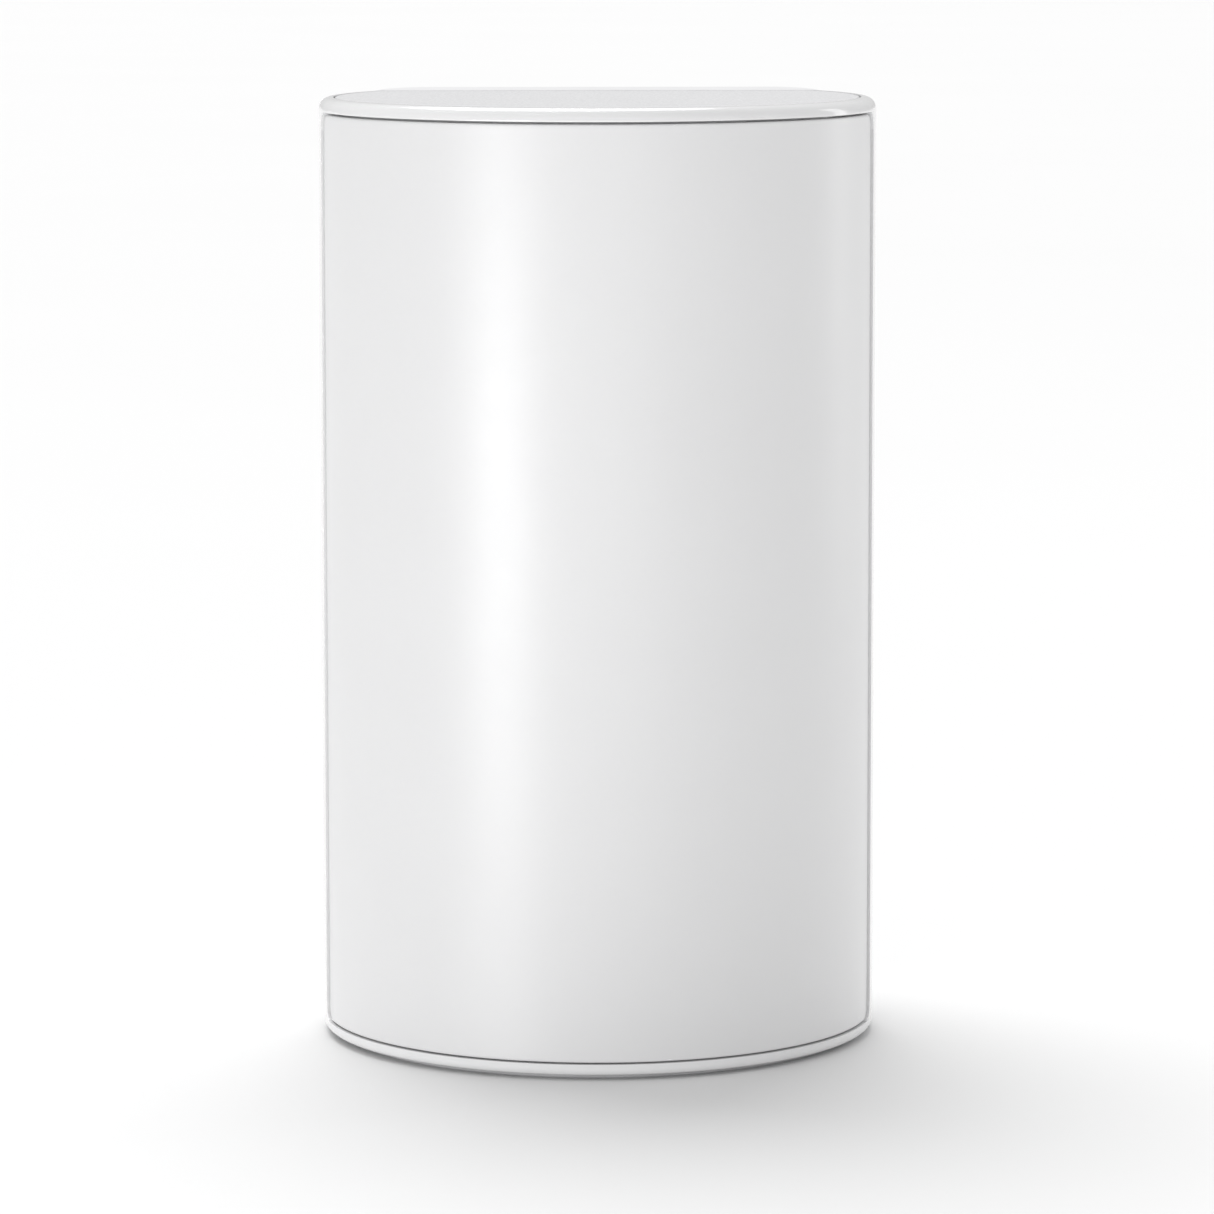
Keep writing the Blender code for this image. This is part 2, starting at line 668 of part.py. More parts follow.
def build():
    clear_scene()
    satin_white = material("satin_white", (0.86, 0.86, 0.87), 0.38)
    gloss_white = material("gloss_white", (0.84, 0.84, 0.85), 0.12)
    grained_white = material("grained_white", (0.78, 0.78, 0.79), 0.55)
    matte_white = material("matte_white", (0.80, 0.80, 0.81), 0.5)
    bay_grey = material("bay_grey", (0.55, 0.55, 0.57), 0.6)
    rubber = material("rubber_grey", (0.30, 0.30, 0.31), 0.8)
    dark_plastic = material("dark_plastic", (0.04, 0.04, 0.045), 0.5)
    green_board = material("green_board", (0.02, 0.14, 0.07), 0.45)
    aluminium = material("aluminium", (0.72, 0.73, 0.75), 0.35, 1.0)
    steel = material("steel", (0.55, 0.56, 0.58), 0.3, 1.0)
    gold = material("gold", (0.85, 0.62, 0.25), 0.3, 1.0)
    pad_blue = material("pad_blue", (0.35, 0.50, 0.68), 0.9)
    clear_plastic = material("clear_plastic", (0.90, 0.92, 0.93), 0.1)
    main_frame(gloss_white)
    front_cover(satin_white)
    top_inlay(grained_white)
    rear_housing(matte_white)
    port_bay(bay_grey)
    base_plate(matte_white)
    feet(rubber)
    wall_bracket(matte_white)
    buttons(satin_white, dark_plastic, steel, green_board)
    main_board(green_board)
    heat_sink(aluminium)
    chips(dark_plastic, pad_blue)
    shield_cans(steel)
    ethernet_jacks(steel)
    power_jack(dark_plastic)
    rear_components(aluminium, dark_plastic, dark_plastic)
    status_light(clear_plastic, clear_plastic)
    antenna_carrier(dark_plastic)
    antennas(gold, dark_plastic, gold)
    screws(steel)


build()
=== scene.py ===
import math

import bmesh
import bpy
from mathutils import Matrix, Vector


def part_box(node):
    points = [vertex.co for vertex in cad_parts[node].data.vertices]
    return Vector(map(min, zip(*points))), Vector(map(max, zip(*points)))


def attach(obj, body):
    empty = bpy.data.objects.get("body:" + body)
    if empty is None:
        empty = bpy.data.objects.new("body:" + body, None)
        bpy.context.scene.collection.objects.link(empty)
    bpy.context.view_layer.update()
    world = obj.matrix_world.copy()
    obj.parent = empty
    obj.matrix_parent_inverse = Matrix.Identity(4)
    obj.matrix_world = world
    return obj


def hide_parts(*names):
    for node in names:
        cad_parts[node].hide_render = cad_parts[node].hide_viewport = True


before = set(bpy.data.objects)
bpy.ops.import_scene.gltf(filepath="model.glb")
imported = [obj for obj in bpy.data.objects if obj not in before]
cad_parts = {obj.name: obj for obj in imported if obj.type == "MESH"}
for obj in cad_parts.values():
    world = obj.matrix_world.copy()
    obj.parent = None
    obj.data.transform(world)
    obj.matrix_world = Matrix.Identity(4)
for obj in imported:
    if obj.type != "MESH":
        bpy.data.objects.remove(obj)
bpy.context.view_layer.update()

# Looks of the mesh wifi node. Shapes are built in millimetres along the frame's axes, and
# new_object() turns them into metres. Angles are in degrees about the body's vertical axis, 0 at
# the front and positive towards +X. Cutters run 1 or 2 mm past the faces that they open.

MM = 0.001
HOUSING = "housing"

# ------------------------------------------------------------------------------------------
# Sizes, read from the frame
# ------------------------------------------------------------------------------------------


def span(node):
    """The low and high corners of a CAD node, in millimetres."""
    low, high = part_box(node)
    return low / MM, high / MM


FRAME_LOW, FRAME_HIGH = span("main_frame")
COVER_LOW, COVER_HIGH = span("front_cover")
INLAY_LOW, INLAY_HIGH = span("top_inlay")
REAR_HIGH = span("rear_housing")[1]
BAY_LOW, BAY_HIGH = span("port_bay")
BASE_LOW, BASE_HIGH = span("base_plate")
RING_HIGH = span("foot_ring")[1]
BRACKET_LOW, BRACKET_HIGH = span("wall_bracket")
BOARD_BACK = span("main_board")[1].y

# The body as a whole
RADIUS = FRAME_HIGH.x
AXIS_Y = FRAME_LOW.y + RADIUS
SEAM_Y = FRAME_HIGH.y
TOP = FRAME_HIGH.z
FRAME_BOTTOM = FRAME_LOW.z
WALL = 1.8
GAP = 0.3
VENT_X = range(-24, 25, 6)
VENT_CORNER = 0.98

# The front cover and the frame round it
COVER_INSET = 0.4
COVER_THICK = 1.8
COVER_ANGLE = 79.4
COVER_CORNER = 2.6
COVER_EDGE = 0.35
WINDOW_ANGLE = 80.0
WINDOW_GAP = 0.4
WINDOW_GAP_LOW = 0.18
WINDOW_DEPTH = 2.5
TOP_FILLET = 1.9
BOTTOM_FILLET = 1.2
DECK_LOW = TOP - 3.1
INLAY_FLOOR = INLAY_LOW.z - GAP
INLAY_RADIUS = INLAY_HIGH.x
INLAY_EDGE = 0.3
INLAY_GAP = 0.25

# The rear housing and the port bay
REAR_HALF = REAR_HIGH.x
REAR_FRONT = SEAM_Y + GAP
REAR_BACK = REAR_HIGH.y
REAR_CORNER = 8.3
REAR_INNER_CORNER = 7.6
REAR_WALL = 2.0
REAR_FILLET = 1.6
REAR_VENT = (141, 151)
BAY_HALF = BAY_HIGH.x
BAY_WALL = 1.5
BAY_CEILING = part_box("ethernet_jack_left")[0].z / MM
BAY_TOP = BAY_CEILING + BAY_WALL
BAY_MOUTH_HIGH = 3.5

# The bracket, its pocket in the rear housing, and the lips that hold its wings
POCKET_HALF = 25.4
POCKET_LOW = 56.5
POCKET_HIGH = BRACKET_HIGH.z + 0.4
POCKET_FLOOR = BRACKET_LOW.y - 0.4
POCKET_CORNER = 1.5
LIP_HEIGHTS = (79.0, 103.0, 127.0)
LIP_LENGTH = 11.0
LIP_IN = 22.3
LIP_FRONT = 40.6
PLATE_HALF = 21.8
PLATE_FRONT = 41.3
PLATE_CORNER = 2.5
WEB_SIDE = (19.0, 21.6)
WEB_BACK = 42.0
WING_IN = 20.0
WING_DEPTH = (38.9, 40.2)
SCREW_HOLE_HEIGHTS = (118.0, 86.0)
SCREW_HOLE = [(0.0, 4.5), (1.6, 4.5), (3.4, 2.3), (8.0, 2.3)]
GRIP_HALF = 9
GRIP_HEIGHTS = (97, 99, 101, 103, 105, 107)
GRIP_DEPTH = 0.4

# The base plate and the feet
BASE_VENT_DEPTH = (-20, 8)
GROOVE_ANGLE = 99
GROOVE_WIDTH = 2.7
RING_ANGLE = 98
RING_WIDTH = 2.4
BASE_SCREWS = ("base_screw_1", "base_screw_2", "base_screw_3", "base_screw_4")

# The sockets and buttons
JACK_HOLE_HALF = 6.5
JACK_HOLE_DEPTH = (19.8, 30.4)
JACK_HOLE_TOP = 58.0
JACK_FIT = 0.05
JACK_MOUTH_HALF = 5.9
JACK_MOUTH_DEPTH = (20.6, 27.6)
JACK_MOUTH_TOP = 56.0
LATCH_HALF = 3.2
LATCH_DEPTH = (27.0, 29.8)
LATCH_TOP = 54.0
CONTACTS = 8
CONTACT_PITCH = 1.02
POWER_JACK_Y = 24.0
PAIR_HOLE_RADIUS = 3.4
PINHOLE_RADIUS = 1.0

# How finely curves are cut up, and how sharply an edge turns before it is bevelled or creased
SIDES = 48
DEGREES_PER_STEP = 1.0
FRONT_STEPS = 242
CORNER_STEPS = 6
REAR_STEPS = 28
ROW_STEP = 6.0
LEAST_EDGE = 0.05
WELD = 0.002
EDGE_ANGLE = 35.0
SHARP_ANGLE = 32.0
UP = (0, 0, 1)

# ------------------------------------------------------------------------------------------
# Mesh tools
# ------------------------------------------------------------------------------------------


def link(made):
    """Puts an object in the scene."""
    bpy.context.scene.collection.objects.link(made)
    return made


def new_object(name, shape):
    """Makes an object in metres from a shape in millimetres, and frees the shape."""
    for point in shape.verts:
        point.co *= MM
    bmesh.ops.recalc_face_normals(shape, faces=shape.faces)
    mesh = bpy.data.meshes.new(name)
    shape.to_mesh(mesh)
    shape.free()
    return link(bpy.data.objects.new(name, mesh))


def bake(target):
    """Puts the result of an object's modifiers into its mesh."""
    graph = bpy.context.evaluated_depsgraph_get()
    mesh = bpy.data.meshes.new_from_object(target.evaluated_get(graph))
    target.modifiers.clear()
    target.data = mesh
    mesh.name = target.name


def combine(target, shape, operation):
    """Joins a shape to an object, or cuts it out."""
    tool = new_object("tool", shape)
    step = target.modifiers.new("step", "BOOLEAN")
    step.operation = operation
    step.solver = "EXACT"
    step.object = tool
    bake(target)
    bpy.data.objects.remove(tool, do_unlink=True)


def join(target, *shapes):
    for shape in shapes:
        combine(target, shape, "UNION")


def cut(target, *shapes):
    for shape in shapes:
        combine(target, shape, "DIFFERENCE")


def tidy(target):
    """Welds points that a Boolean left on top of each other and removes slivers."""
    shape = bmesh.new()
    shape.from_mesh(target.data)
    bmesh.ops.remove_doubles(shape, verts=shape.verts, dist=WELD * MM)
    bmesh.ops.dissolve_degenerate(shape, edges=shape.edges, dist=WELD * MM)
    bmesh.ops.dissolve_limit(
        shape, angle_limit=math.radians(0.1), verts=shape.verts, edges=shape.edges
    )
    shape.to_mesh(target.data)
    shape.free()


def round_edges(target, width, segments=3):
    """Rounds every edge that turns sharply enough."""
    edge = target.modifiers.new("edge", "BEVEL")
    edge.width = width * MM
    edge.segments = segments
    edge.limit_method = "ANGLE"
    edge.angle_limit = math.radians(EDGE_ANGLE)
    edge.use_clamp_overlap = True
    edge.miter_outer = "MITER_ARC"
    bake(target)


def add_piece(target, finish, body, nodes=(), weighted=True):
    """Shades a finished shape, gives it its material and ties it to the frame."""
    target.data.shade_smooth()
    target.data.set_sharp_from_angle(angle=math.radians(SHARP_ANGLE))
    if weighted:
        normals = target.modifiers.new("normals", "WEIGHTED_NORMAL")
        normals.keep_sharp = True
        normals.weight = 80
    target.data.materials.clear()
    target.data.materials.append(finish)
    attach(target, body)
    if nodes:
        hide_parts(*nodes)
    return target


def loft(sections):
    """A closed body through sections that all have the same number of points."""
    shape = bmesh.new()
    rings = [[shape.verts.new(point) for point in section] for section in sections]
    count = len(rings[0])
    for low, high in zip(rings, rings[1:]):
        for i in range(count):
            j = (i + 1) % count
            shape.faces.new((low[i], low[j], high[j], high[i]))
    shape.faces.new(reversed(rings[0]))
    shape.faces.new(rings[-1])
    return shape


def prism(outline, low, high):
    """A body with the same outline all the way up."""
    return loft([[(x, y, z) for x, y in outline] for z in (low, high)])


def box(x, y, z):
    """A box between two values on each axis."""
    outline = [(x[0], y[0]), (x[1], y[0]), (x[1], y[1]), (x[0], y[1])]
    return prism(outline, z[0], z[1])


def merged(shapes):
    """Puts shapes that don't touch into one, so that a single Boolean takes them all."""
    whole = shapes[0]
    for other in shapes[1:]:
        spare = bpy.data.meshes.new("spare")
        other.to_mesh(spare)
        other.free()
        whole.from_mesh(spare)
        bpy.data.meshes.remove(spare)
    return whole


def turned(place, direction, profile, sides=SIDES):
    """A round body along a direction from a place, through (distance, radius) pairs."""
    along = Vector(direction).normalized()
    across = along.orthogonal().normalized()
    aside = along.cross(across)
    turns = [2 * math.pi * i / sides for i in range(sides)]
    sections = []
    for distance, radius in profile:
        middle = Vector(place) + along * distance
        sections.append(
            [middle + (across * math.cos(t) + aside * math.sin(t)) * radius for t in turns]
        )
    return loft(sections)


def rod(place, direction, length, radius):
    """A cylinder along a direction from a place."""
    return turned(place, direction, [(0.0, radius), (length, radius)])


def rounded_box(x, y, z, corner, along="z"):
    """A box whose four edges along one axis are rounded."""
    pairs = {"x": (y, z), "y": (x, z), "z": (x, y)}[along]
    (u0, u1), (v0, v1) = pairs
    outline = []
    for cu, cv, start in (
        (u1 - corner, v1 - corner, 0),
        (u0 + corner, v1 - corner, 90),
        (u0 + corner, v0 + corner, 180),
        (u1 - corner, v0 + corner, 270),
    ):
        for i in range(CORNER_STEPS + 1):
            turn = math.radians(start + 90 * i / CORNER_STEPS)
            outline.append((cu + corner * math.cos(turn), cv + corner * math.sin(turn)))
    ends = {"x": x, "y": y, "z": z}[along]
    place = {
        "x": lambda u, v, w: (w, u, v),
        "y": lambda u, v, w: (u, w, v),
        "z": lambda u, v, w: (u, v, w),
    }[along]
    return loft([[place(u, v, w) for u, v in outline] for w in ends])


def on_axis(radius, angle):
    """The place at a radius and an angle about the body's axis."""
    turn = math.radians(angle)
    return radius * math.sin(turn), AXIS_Y - radius * math.cos(turn)


def arc(radius, start, end):
    """Places along an arc about the body's axis."""
    steps = max(2, round(abs(end - start) / DEGREES_PER_STEP))
    return [on_axis(radius, start + (end - start) * i / steps) for i in range(steps + 1)]


def sector(inner, outer, start, end, low, high):
    """Part of a ring about the body's axis."""
    return prism(arc(outer, start, end) + arc(inner, end, start), low, high)


def round_front(radius, flat_y):
    """A circle about the body's axis, cut off straight at flat_y."""
    limit = math.degrees(math.acos((AXIS_Y - flat_y) / radius))
    return [
        on_axis(radius, -limit + 2 * limit * i / FRONT_STEPS) for i in range(FRONT_STEPS + 1)
    ]


def rear_outline(half, back, front, corner=REAR_CORNER):
    """A flat back with a quarter ellipse at each side, from right to left."""
    right = []
    for i in range(REAR_STEPS + 1):
        turn = math.radians(90 * i / REAR_STEPS)
        x = half - corner + corner * math.cos(turn)
        right.append((x, front + (back - front) * math.sin(turn)))
    return right + [(-x, y) for x, y in reversed(right)]


def filleted(outline_at, low, high, low_fillet, high_fillet, steps=8):
    """A body whose outline draws in at its bottom and top edges, as a quarter round."""
    sections = []
    for i in range(steps + 1):
        turn = math.radians(90 * i / steps)
        inset = low_fillet * (1 - math.sin(turn))
        height = low + low_fillet * (1 - math.cos(turn))
        sections.append([(x, y, height) for x, y in outline_at(inset)])
    for i in range(steps + 1):
        turn = math.radians(90 * i / steps)
        inset = high_fillet * (1 - math.cos(turn))
        height = high - high_fillet * (1 - math.sin(turn))
        sections.append([(x, y, height) for x, y in outline_at(inset)])
    return loft(sections)


def edge_steps(length, edge, middle_step):
    """Places along a length, close together near both ends so that a rounded edge has room."""
    near = [edge * share for share in (0.0, 0.06, 0.16, 0.3, 0.48, 0.7, 1.0, 1.3)]
    inner = max(2, round((length - 2 * near[-1]) / middle_step))
    middle = [near[-1] + (length - 2 * near[-1]) * i / inner for i in range(1, inner)]
    return near + middle + [length - d for d in reversed(near)]


def quarter_round(distance, radius):
    """How far a quarter round still draws back at a distance inside the edge."""
    if distance >= radius:
        return 0.0
    return radius - math.sqrt(max(0.0, radius**2 - (radius - distance) ** 2))


def edge_distance(side, up, height, corner):
    """How far a place on the panel is inside its rounded outline."""
    up = min(up, height - up)
    if side < corner and up < corner:
        return corner - math.hypot(corner - side, corner - up)
    return min(side, up)


def wrapped_panel(outer, inner, half_angle, low, high, corner, edge):
    """A panel with rounded corners wrapped round the axis, its outer edge rounded over by edge."""
    width = 2 * math.radians(half_angle) * outer
    height = high - low
    near_edge = max(edge, LEAST_EDGE)
    columns = edge_steps(width, near_edge, outer * math.radians(DEGREES_PER_STEP))
    extra = [corner * (1 - math.cos(math.radians(a))) for a in range(8, 91, 8)]
    columns = sorted(set(columns + extra + [width - place for place in extra]))
    count = len(edge_steps(height, near_edge, ROW_STEP))
    shape = bmesh.new()
    outer_grid, inner_grid = [], []
    for along in columns:
        side = min(along, width - along)
        lift = quarter_round(side, corner)
        rows = edge_steps(height - 2 * lift, near_edge, ROW_STEP)
        if len(rows) != count:  # shorter columns keep as many rows as the full ones
            rows = [rows[round(i * (len(rows) - 1) / (count - 1))] for i in range(count)]
        angle = math.degrees((along - width / 2) / outer)
        for grid, radius, rounding in ((outer_grid, outer, edge), (inner_grid, inner, 0.0)):
            line = []
            for up in rows:
                z = low + lift + up
                inside = edge_distance(side, z - low, height, corner)
                x, y = on_axis(radius - quarter_round(inside, rounding), angle)
                line.append(shape.verts.new((x, y, z)))
            grid.append(line)
    for grid, flip in ((outer_grid, False), (inner_grid, True)):
        for left, right in zip(grid, grid[1:]):
            for i in range(count - 1):
                corners = (left[i], right[i], right[i + 1], left[i + 1])
                shape.faces.new(tuple(reversed(corners)) if flip else corners)
    outer_rim = rim_of(outer_grid)
    inner_rim = rim_of(inner_grid)
    for i in range(len(outer_rim)):
        j = (i + 1) % len(outer_rim)
        shape.faces.new((outer_rim[j], outer_rim[i], inner_rim[i], inner_rim[j]))
    return shape


def rim_of(grid):
    """The points round the border of a grid, in order."""
    bottom = [line[0] for line in grid]
    right = grid[-1][1:]
    top = [line[-1] for line in reversed(grid[:-1])]
    left = list(reversed(grid[0][1:-1]))
    return bottom + right + top + left


# ------------------------------------------------------------------------------------------
# Materials
# ------------------------------------------------------------------------------------------


class Finish:
    """A node-based material, built up a step at a time."""

    def __init__(self, name, colour, roughness, metallic=0.0):
        self.material = bpy.data.materials.new(name)
        self.material.use_nodes = True
        self.nodes = self.material.node_tree.nodes
        self.links = self.material.node_tree.links
        self.shader = self.nodes["Principled BSDF"]
        self.shader.inputs["Roughness"].default_value = roughness
        self.shader.inputs["Metallic"].default_value = metallic
        self.colour = colour
        self.roughness = roughness
        self.normal = None
        self.place = self.nodes.new("ShaderNodeTexCoord").outputs["Object"]

    def set(self, **values):
        """Constants on the shader's own sockets."""
        for name, value in values.items():
            self.shader.inputs[name.replace("_", " ")].default_value = value
        return self

    def noise(self, scale, detail=3.0, stretch=None):
        """Noise in object space; scale is per metre."""
        texture = self.nodes.new("ShaderNodeTexNoise")
        texture.inputs["Scale"].default_value = scale
        texture.inputs["Detail"].default_value = detail
        place = self.place
        if stretch:
            mapping = self.nodes.new("ShaderNodeMapping")
            mapping.inputs["Scale"].default_value = stretch
            self.links.new(place, mapping.inputs["Vector"])
            place = mapping.outputs["Vector"]
        self.links.new(place, texture.inputs["Vector"])
        return texture.outputs["Fac"]

    def cells(self, scale):
        """A cell pattern in object space; scale is per metre."""
        texture = self.nodes.new("ShaderNodeTexVoronoi")
        texture.inputs["Scale"].default_value = scale
        self.links.new(self.place, texture.inputs["Vector"])
        return texture.outputs["Distance"]

    def spread(self, value, low, high, to_low=0.0, to_high=1.0):
        """Maps one range of values onto another."""
        ramp = self.nodes.new("ShaderNodeMapRange")
        ramp.inputs["From Min"].default_value = low
        ramp.inputs["From Max"].default_value = high
        ramp.inputs["To Min"].default_value = to_low
        ramp.inputs["To Max"].default_value = to_high
        self.links.new(value, ramp.inputs["Value"])
        return ramp.outputs["Result"]

    def tint(self, value, other, low=0.35, high=0.65):
        """Colour that varies between the base colour and another one."""
        mix = self.nodes.new("ShaderNodeMix")
        mix.data_type = "RGBA"
        mix.inputs["A"].default_value = (*self.colour, 1.0)
        mix.inputs["B"].default_value = (*other, 1.0)
        self.links.new(self.spread(value, low, high), mix.inputs["Factor"])
        self.links.new(mix.outputs["Result"], self.shader.inputs["Base Color"])
        return self

    def gloss(self, value, change, low=0.35, high=0.65):
        """Roughness that varies by change around its base value."""
        varied = self.spread(value, low, high, self.roughness - change, self.roughness + change)
        self.links.new(varied, self.shader.inputs["Roughness"])
        return self

    def bump(self, value, distance):
        """Relief on top of what the material already has; distance is in metres."""
        node = self.nodes.new("ShaderNodeBump")
        node.inputs["Distance"].default_value = distance
        node.inputs["Strength"].default_value = 1.0
        self.links.new(value, node.inputs["Height"])
        if self.normal:
            self.links.new(self.normal, node.inputs["Normal"])
        self.normal = node.outputs["Normal"]
        self.links.new(self.normal, self.shader.inputs["Normal"])
        return self


def plastic(name, colour, roughness, grain, depth, shade=0.97, change=0.04):
    """Moulded plastic: mould grain of a depth in metres, faint unevenness of tone and gloss."""
    finish = Finish(name, colour, roughness)
    darker = tuple(c * shade for c in colour)
    finish.tint(finish.noise(60.0, 4.0), darker)
    finish.gloss(finish.noise(220.0, 4.0), change)
    finish.bump(finish.noise(grain, 2.0), depth)
    return finish


def metal(name, colour, roughness, stretch=(1.0, 1.0, 30.0)):
    """Plated or drawn metal with fine lines along one direction."""
    finish = Finish(name, colour, roughness, 1.0)
    lines = finish.noise(900.0, 3.0, stretch)
    finish.tint(finish.noise(150.0, 3.0), tuple(c * 0.88 for c in colour))
    finish.gloss(lines, 0.08)
    finish.bump(lines, 0.000003)
    return finish


# Name, colour, roughness, mould grain per metre and its depth in metres, then how dark the darker
# patches are and how much the roughness changes where these differ from the usual.
PLASTICS = {
    "cover": ("satin_cover", (0.775, 0.775, 0.78), 0.38, 9000.0, 0.0000015, 0.992, 0.02),
    "rim": ("gloss_rim", (0.84, 0.84, 0.845), 0.2, 2500.0, 0.000001, 0.99, 0.02),
    "rear": ("matte_rear", (0.76, 0.76, 0.77), 0.5, 4200.0, 0.00002),
    "bay": ("bay_plastic", (0.30, 0.30, 0.315), 0.55, 3600.0, 0.00002, 0.9),
    "base": ("base_plastic", (0.70, 0.70, 0.71), 0.55, 3600.0, 0.00003, 0.95),
    "rubber": ("foot_rubber", (0.62, 0.62, 0.63), 0.82, 2400.0, 0.00003, 0.85, 0.08),
    "dark": ("dark_plastic", (0.035, 0.035, 0.038), 0.45, 3000.0, 0.00001, 0.8, 0.06),
    "socket": ("socket_plastic", (0.02, 0.02, 0.022), 0.38, 3000.0, 0.000008, 0.8, 0.05),
    "chip": ("chip_epoxy", (0.03, 0.03, 0.033), 0.58, 5200.0, 0.00001, 0.85, 0.05),
    "pad": ("thermal_pad", (0.27, 0.40, 0.57), 0.85, 1800.0, 0.00003, 0.85),
    "clear": ("clear_plastic", (0.86, 0.88, 0.90), 0.12, 2500.0, 0.000002, 0.98, 0.03),
}
# Name, colour, roughness, and the stretch of the fine lines where it differs from the usual.
METALS = {
    "aluminium": ("anodised_aluminium", (0.70, 0.71, 0.73), 0.36),
    "steel": ("plated_steel", (0.60, 0.61, 0.63), 0.28),
    "zinc": ("zinc_screw", (0.50, 0.51, 0.53), 0.32, (1.0, 1.0, 1.0)),
    "gold": ("gold_plate", (0.83, 0.60, 0.24), 0.25),
}


def make_materials():
    """All the materials of the object, by a short name for each."""
    finishes = {key: plastic(*values) for key, values in PLASTICS.items()}
    finishes["cover"].set(Coat_Weight=0.8, Coat_Roughness=0.36)
    finishes["rim"].set(Coat_Weight=0.6, Coat_Roughness=0.05)
    finishes["clear"].set(Transmission_Weight=0.6, IOR=1.49)
    finishes.update({key: metal(*values) for key, values in METALS.items()})

    inlay = Finish("grained_inlay", (0.74, 0.74, 0.75), 0.5)
    cells = inlay.cells(1900.0)
    inlay.tint(cells, (0.62, 0.62, 0.63), 0.15, 0.6)
    inlay.gloss(inlay.noise(1500.0), 0.1)
    inlay.bump(cells, 0.00009).bump(inlay.noise(5200.0), 0.00004)
    finishes["inlay"] = inlay

    board = Finish("solder_mask", (0.012, 0.105, 0.055), 0.34)
    board.tint(board.noise(420.0, 2.0), (0.018, 0.14, 0.075), 0.45, 0.55)
    board.gloss(board.noise(900.0), 0.06).bump(board.cells(420.0), 0.00003)
    finishes["board"] = board
    return {key: finish.material for key, finish in finishes.items()}


# ------------------------------------------------------------------------------------------
# Shells
# ------------------------------------------------------------------------------------------


def front_cover(finish):
    """The satin panel that wraps round the front."""
    outer = RADIUS - COVER_INSET
    inner = outer - COVER_THICK
    shape = wrapped_panel(
        outer, inner, COVER_ANGLE, COVER_LOW.z, COVER_HIGH.z, COVER_CORNER, COVER_EDGE
    )
    body = new_object("front_cover_shell", shape)
    return add_piece(body, finish, HOUSING, ["front_cover"])


def main_frame(finish):
    """Top deck with its glossy rim, bottom rim, and the side strips round the cover's window."""

    def outline(inset):
        return round_front(RADIUS - inset, SEAM_Y)

    shape = filleted(outline, FRAME_BOTTOM, TOP, BOTTOM_FILLET, TOP_FILLET)
    body = new_object("main_frame_shell", shape)
    past_back = SEAM_Y + 2
    cut(body, prism(round_front(RADIUS - WALL, past_back), -1, DECK_LOW))
    cut(body, prism(round_front(INLAY_RADIUS + INLAY_GAP, past_back), INLAY_FLOOR, TOP + 1))
    low = COVER_LOW.z - WINDOW_GAP_LOW
    high = COVER_HIGH.z + WINDOW_GAP
    corner = COVER_CORNER + WINDOW_GAP
    inner = RADIUS - WINDOW_DEPTH
    cut(body, wrapped_panel(RADIUS + 4, inner, WINDOW_ANGLE, low, high, corner, 0.0))
    tidy(body)
    round_edges(body, 0.16, 2)
    return add_piece(body, finish, HOUSING, ["main_frame"])


def top_inlay(finish):
    """The grained panel, with its edge just rounded."""

    def outline(inset):
        return round_front(INLAY_RADIUS - inset, SEAM_Y - inset)

    shape = filleted(outline, INLAY_LOW.z, INLAY_HIGH.z - 0.02, 0.05, INLAY_EDGE, 5)
    body = new_object("top_inlay_panel", shape)
    return add_piece(body, finish, HOUSING, ["top_inlay"])


def rear_housing(finish):
    """The rear shell, with the bracket's pocket and lips, the bay's mouth and the upper vents."""

    def outline(inset):
        return rear_outline(REAR_HALF - inset, REAR_BACK - inset, REAR_FRONT)

    shape = filleted(outline, FRAME_BOTTOM, TOP, BOTTOM_FILLET, REAR_FILLET)
    body = new_object("rear_housing_shell", shape)
    inside_half = REAR_HALF - REAR_WALL
    inside_front = REAR_FRONT - 1
    inside_back = REAR_BACK - REAR_WALL
    inner = rear_outline(inside_half, inside_back, inside_front, REAR_INNER_CORNER)
    cut(body, prism(inner, FRAME_BOTTOM + REAR_WALL, TOP - REAR_WALL))
    pocket_wall = box(
        (-POCKET_HALF - WALL, POCKET_HALF + WALL),
        (POCKET_FLOOR - REAR_WALL, REAR_BACK - 1),
        (POCKET_LOW - WALL, POCKET_HIGH + WALL),
    )
    join(body, pocket_wall)
    pocket = rounded_box(
        (-POCKET_HALF, POCKET_HALF),
        (POCKET_FLOOR, REAR_BACK + 2),
        (POCKET_LOW, POCKET_HIGH),
        POCKET_CORNER,
        "y",
    )
    cut(body, pocket)
    lips = []
    for middle in LIP_HEIGHTS:
        for side in (-1, 1):
            x = sorted((side * LIP_IN, side * (POCKET_HALF + 0.8)))
            lips.append(box(x, (LIP_FRONT, REAR_BACK - 0.05), lip_span(middle)))
    join(body, merged(lips))
    floor_half = BAY_HALF + GAP
    inner_half = BAY_HALF - BAY_WALL
    floor_depth = (inside_front - 1, inside_back + 0.1)
    mouth_depth = (inside_back - 6, REAR_BACK + 2)
    cut(body, box((-floor_half, floor_half), floor_depth, (-1, BAY_MOUTH_HIGH)))
    cut(body, box((-inner_half, inner_half), mouth_depth, (-1, BAY_CEILING)))
    wall = (inside_back - 1, REAR_BACK + 2)
    vents = [rounded_box((x - 1, x + 1), wall, REAR_VENT, VENT_CORNER, "y") for x in VENT_X]
    cut(body, merged(vents))
    tidy(body)
    round_edges(body, 0.2, 2)
    return add_piece(body, finish, HOUSING, ["rear_housing"])


def lip_span(middle):
    """The bottom and top of a lip, and of the wing that locks behind it."""
    return middle - LIP_LENGTH / 2, middle + LIP_LENGTH / 2


